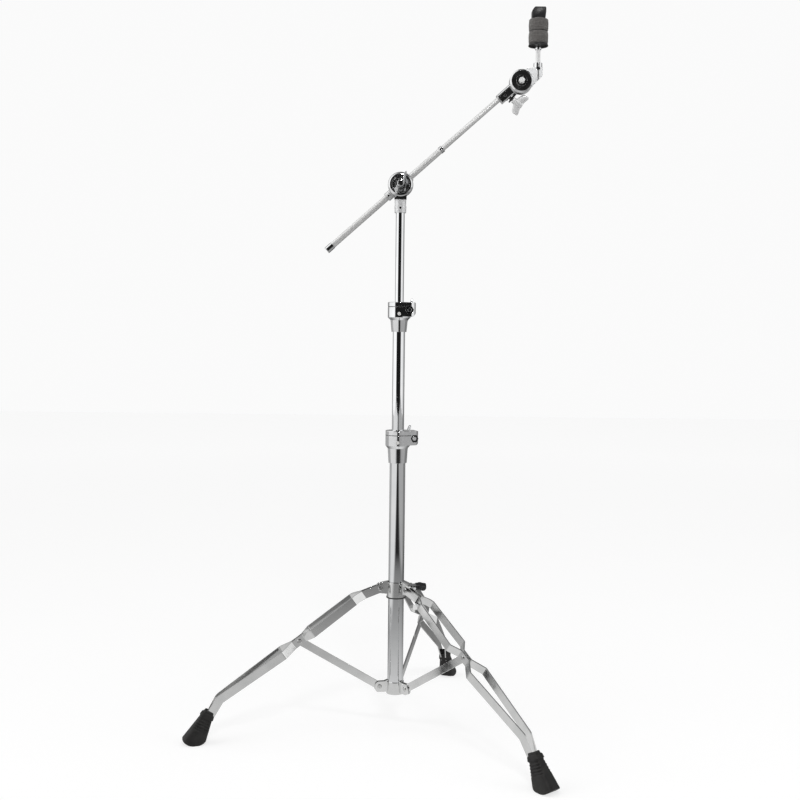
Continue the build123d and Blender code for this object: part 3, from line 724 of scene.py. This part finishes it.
def make_felt(node, body, seed):
    low, high = (Vector(c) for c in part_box(node))
    height = (high.z - low.z) / MM - 2 * FELT_GAP
    outer = (high.x - low.x) / 2 / MM
    place = Matrix.Translation(post_axis() + Vector((0, 0, low.z + FELT_GAP * MM)))
    inner = 5.9
    edge = 2.2
    outline = []
    for k in range(7):
        angle = math.pi / 2 * k / 6
        outline.append((outer - 0.5 - edge + edge * math.sin(angle), edge - edge * math.cos(angle)))
    for k in range(1, 24):
        share = k / 24
        layer = 0.10 * math.sin(share * math.pi * 2 * 5.5)
        bulge = 0.5 * math.sin(share * math.pi)
        outline.append((outer - 0.5 + bulge + layer, edge + (height - 2 * edge) * share))
    for k in range(7):
        angle = math.pi / 2 * k / 6
        radius = outer - 0.5 - edge + edge * math.cos(angle)
        outline.append((radius, height - edge + edge * math.sin(angle)))
    across = [(inner + (outer - 2.7 - inner) * (1 - k / 6), height) for k in range(1, 7)]
    bore = [(inner, height * (1 - k / 4)) for k in range(1, 5)]
    under = [(inner + (outer - 2.7 - inner) * k / 6, 0.0) for k in range(1, 6)]
    bm = bmesh.new()
    lathe(bm, outline + across + bore + under, place, steps=120)
    bmesh.ops.recalc_face_normals(bm, faces=bm.faces)
    bm.normal_update()
    centre = place.translation
    for vert in bm.verts:
        flat = Vector((vert.co.x - centre.x, vert.co.y - centre.y, 0))
        if flat.length < (inner + 1) * MM:
            continue
        rough = noise.noise(vert.co * 420 + Vector((seed, 0, 0))) * 0.30
        rough += noise.noise(vert.co * 1300 + Vector((0, seed, 0))) * 0.16
        share = smooth(flat.length / MM, inner + 2, outer - 1)
        vert.co += flat.normalized() * rough * share * MM
    finish_piece(f"{node}_pad", bm, "felt", body, [node], crease=60)


def make_cup():
    low, high = (Vector(c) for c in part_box("felt_cup"))
    height = (high.z - low.z) / MM
    outer = (high.x - low.x) / 2 / MM
    place = Matrix.Translation(post_axis() + Vector((0, 0, low.z)))
    profile = rounded(
        [(4.1, height), (outer - 0.9, height), (outer, 0.5), (outer - 0.3, 0.0),
         (outer - 2.2, 0.0), (outer - 2.6, 1.2), (4.1, 1.2)], 0.35, 3)
    bm = bmesh.new()
    lathe(bm, profile, place, steps=96)
    finish_piece("felt_cup_body", bm, "black_plastic", "cymbal_arm", ["felt_cup"])


# ---- Wing nuts and screws -----------------------------------------------------------------
BOOM_NUT_LEAN = 66.6        # how far each one's wings lean, in degrees
KNOB_LEAN = 6
CLAMP_LEAN = {"lower": 67, "upper": 77}
HUB_BACK = {"lower": 10.0, "upper": 4.6}    # how far each clamp screw's hub starts before its wings


def turned_blades(bm, stations, place):
    for turn in (0, 180):
        merge(bm, blade(stations, place @ Matrix.Rotation(math.radians(turn), 4, "Z")))


def make_boom_wing_nut():
    joint = JOINTS["boom_wing_nut_turn"]
    _low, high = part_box("boom_tilter_wing_nut")
    seat = Vector((joint["pos_m"][0], high[1], joint["pos_m"][2]))
    lean = math.radians(BOOM_NUT_LEAN)
    place = axis_frame(seat, joint["axis"], (math.cos(lean), 0, math.sin(lean)))
    bm = bmesh.new()
    lathe(bm, rounded([
        (4.15, 0.2), (6.4, 0.0), (7.0, 1.0), (7.0, 5.0), (6.2, 15.0), (5.4, 16.0), (4.15, 16.0),
    ], 0.8), place)
    turned_blades(bm, [
        (1.0, -3.4, 2.2, 13.0, 4.2), (6.0, -3.3, 3.0, 13.2, 4.4), (11.0, -2.4, 4.2, 14.0, 4.2),
        (16.0, -1.2, 5.2, 14.8, 4.0), (20.5, -0.5, 6.2, 15.4, 3.9), (23.4, -0.4, 7.4, 15.0, 3.4),
    ], place)
    finish_piece("boom_wing_nut", bm, "chrome_fastener", "boom_wing_nut", ["boom_tilter_wing_nut"])


def make_tilter_wing_nut():
    joint = JOINTS["tilter_wing_nut_turn"]
    axis = Vector(joint["axis"])
    centre = Vector(joint["pos_m"])
    outward = centre - Vector(JOINTS["cymbal_tilt"]["pos_m"])
    corners = NODES["cymbal_tilter_wing_nut"].data.vertices
    seat = min((vert.co - centre).dot(axis) for vert in corners)
    place = axis_frame(centre + axis * seat, axis, outward)
    bm = bmesh.new()
    lathe(bm, rounded([
        (3.2, 0.2), (5.2, 0.0), (5.6, 0.8), (5.4, 6.0), (4.9, 18.5), (4.0, 20.0), (3.2, 20.0),
    ], 0.7), place)
    turned_blades(bm, [
        (1.0, 0.0, 3.6, 18.4, 7.4), (5.0, 0.0, 4.6, 19.2, 7.2), (9.5, 0.0, 6.4, 20.6, 6.8),
        (14.0, 0.0, 8.0, 22.0, 6.2), (17.4, 0.0, 9.8, 22.6, 5.4), (18.9, 0.0, 12.0, 20.6, 3.6),
    ], place)
    nut = ["cymbal_tilter_wing_nut"]
    # the wing nut is painted paler than its plate, as painted light
    finish_piece("cymbal_wing_nut", bm, "satin_bright", "tilter_wing_nut", nut)


def make_clamp_screw(name):
    """A clamp's wing screw: a threaded shank, a stepped hub and two swept wings."""
    joint = JOINTS[f"{name}_screw_turn"]
    axis = Vector(joint["axis"])
    pivot = Vector(joint["pos_m"])
    corners = NODES[f"{name}_clamp_wing_screw"].data.vertices
    reached = [(vert.co - pivot).dot(axis) for vert in corners]
    lean = math.radians(CLAMP_LEAN[name])
    up = Vector((0, 0, 1))
    along = axis.cross(up) * math.cos(lean) + up * math.sin(lean)
    place = axis_frame(pivot + axis * min(reached), axis, along)
    length = (max(reached) - min(reached)) / MM
    reach = length - 10
    hub_low = reach - HUB_BACK[name]
    bm = bmesh.new()
    shank = [(0, 0.0), (3.2, 0.0), (3.9, 0.7), (3.9, hub_low)]
    hub = [(6.3, hub_low), (6.5, hub_low + 1.0), (6.0, length - 1.5), (4.6, length), (0, length)]
    lathe(bm, shank + hub, place, closed=False)
    turned_blades(bm, [
        (1.0, 0.0, hub_low + 3.5, length - 2.0, 5.2), (7.0, 0.0, hub_low + 6.0, length - 1.2, 5.0),
        (12.5, 0.0, reach - 2.0, length - 0.6, 4.7), (17.5, 0.0, reach + 0.2, length - 0.4, 4.4),
        (20.8, 0.0, reach + 1.0, length - 1.0, 3.8), (21.9, 0.0, reach + 2.6, length - 2.6, 2.8),
    ], place)
    screw = [f"{name}_clamp_wing_screw"]
    finish_piece(f"{name}_wing_screw", bm, "chrome_fastener", f"{name}_wing_screw", screw)


def make_knob():
    joint = JOINTS["collar_screw_turn"]
    axis = Vector(joint["axis"])
    origin = Vector((0, 0, joint["pos_m"][2]))
    lean = math.radians(KNOB_LEAN)
    up = Vector((0, 0, 1))
    place = axis_frame(origin, axis, up.cross(axis) * math.cos(lean) + up * math.sin(lean))
    bm = bmesh.new()
    hub = rounded([
        (4.1, 36.2), (6.6, 36.0), (7.2, 37.2), (7.2, 44.0), (6.0, 55.0), (4.6, 56.0),
    ], 0.8)
    hub = [point for point in hub if point[0] > 4.1]
    lathe(bm, [(4.1, 36.2)] + hub + [(0.0, 56.0)], place, closed=False)
    turned_blades(bm, [
        (1.0, 0.0, 38.0, 54.6, 9.0), (6.0, 0.0, 39.0, 54.0, 8.4), (10.5, 0.0, 40.2, 53.4, 7.8),
        (14.2, 0.0, 41.4, 52.8, 7.6), (16.6, 0.0, 43.4, 51.2, 6.2),
    ], place)
    finish_piece("collar_knob", bm, "black_plastic", "collar_wing_screw", ["leg_collar_knob"])


# ---- Cymbal nut ---------------------------------------------------------------------------
def make_cymbal_nut():
    """An oblong quick-release nut: a bevelled block with a sloping shoulder and finger grooves."""
    low, high = (Vector(c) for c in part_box("cymbal_nut"))
    centre = post_axis()
    height = (high.z - low.z) / MM
    half_x = (high.x - low.x) / 2 / MM
    half_y = (high.y - low.y) / 2 / MM
    outline = rounded([
        (-half_x + 0.6, 0), (-half_x, 2.0), (-half_x, 14.4), (-7.6, height), (half_x - 1.0, height),
        (half_x, height - 2.0), (half_x, 12.0), (half_x - 1.3, 0),
    ], 1.3, 3)
    bm = bmesh.new()
    rings = []
    layers = [(-half_y, 0.88), (-half_y + 0.5, 0.955), (-half_y + 1.4, 1.0)]
    layers += [(-y, s) for y, s in reversed(layers)]
    for y, scale in layers:
        ring = []
        for x, z in outline:
            point = Vector((x * scale, y, height / 2 + (z - height / 2) * scale)) * MM
            ring.append(bm.verts.new(centre + Vector((0, 0, low.z)) + point))
        rings.append(ring)
    for lower, upper in zip(rings, rings[1:]):
        for i in range(len(outline)):
            j = (i + 1) % len(outline)
            bm.faces.new((lower[i], lower[j], upper[j], upper[i]))
    bm.faces.new(rings[0])
    bm.faces.new(rings[-1])
    # raised grip ridges on the two broad faces
    place = Matrix.Translation(centre + Vector((0, 0, low.z)))
    for y in (0.2 - half_y, half_y - 0.2):
        for x in (-4.5, -1.5, 1.5, 4.5, 7.5):
            stations = [(x, y, 3.0, 4.4, 1.2), (x, y + 0.01, 3.4, 17.0, 1.3)]
            merge(bm, blade(stations, place, 1))
    finish_piece("cymbal_quick_nut", bm, "black_plastic", "top_nut", ["cymbal_nut"])


# ---- Building -----------------------------------------------------------------------------
# pieces whose finish differs from the rest of their material slot
SPECIAL_LOOKS = {
    "cymbal_tilter_arm": "tilter_arm",
    "boom_tilter_base": "tilter_base",
    "boom_holder": "satin_casting",
    "cymbal_tilter_washer": "chrome_casting",
    "cymbal_tilter_pivot_bolt": "satin_casting",
    # the post is painted paler than its plate, as painted light
    "cymbal_post": "satin_bright",
    "boom_end_cap": "chrome_casting",
    "boom_stop_ring": "chrome_casting",
}


def dress_nodes(looks):
    for part in frame["record"]["subparts"]:
        look = SPECIAL_LOOKS.get(part["node"], part["material_slot"])
        for slot in NODES[part["node"]].material_slots:
            slot.material = looks[look]


make_camera()
LOOKS = make_materials()
make_studio()
dress_nodes(LOOKS)
for leg in ("left", "right", "back"):
    make_boot(leg)
make_felt("lower_felt", "cymbal_arm", 1.0)
make_felt("upper_felt", "top_felt", 7.0)
make_cup()
make_cymbal_nut()
make_boom_wing_nut()
make_tilter_wing_nut()
make_clamp_screw("lower")
make_clamp_screw("upper")
make_knob()
SCENE.view_settings.view_transform = "Standard"
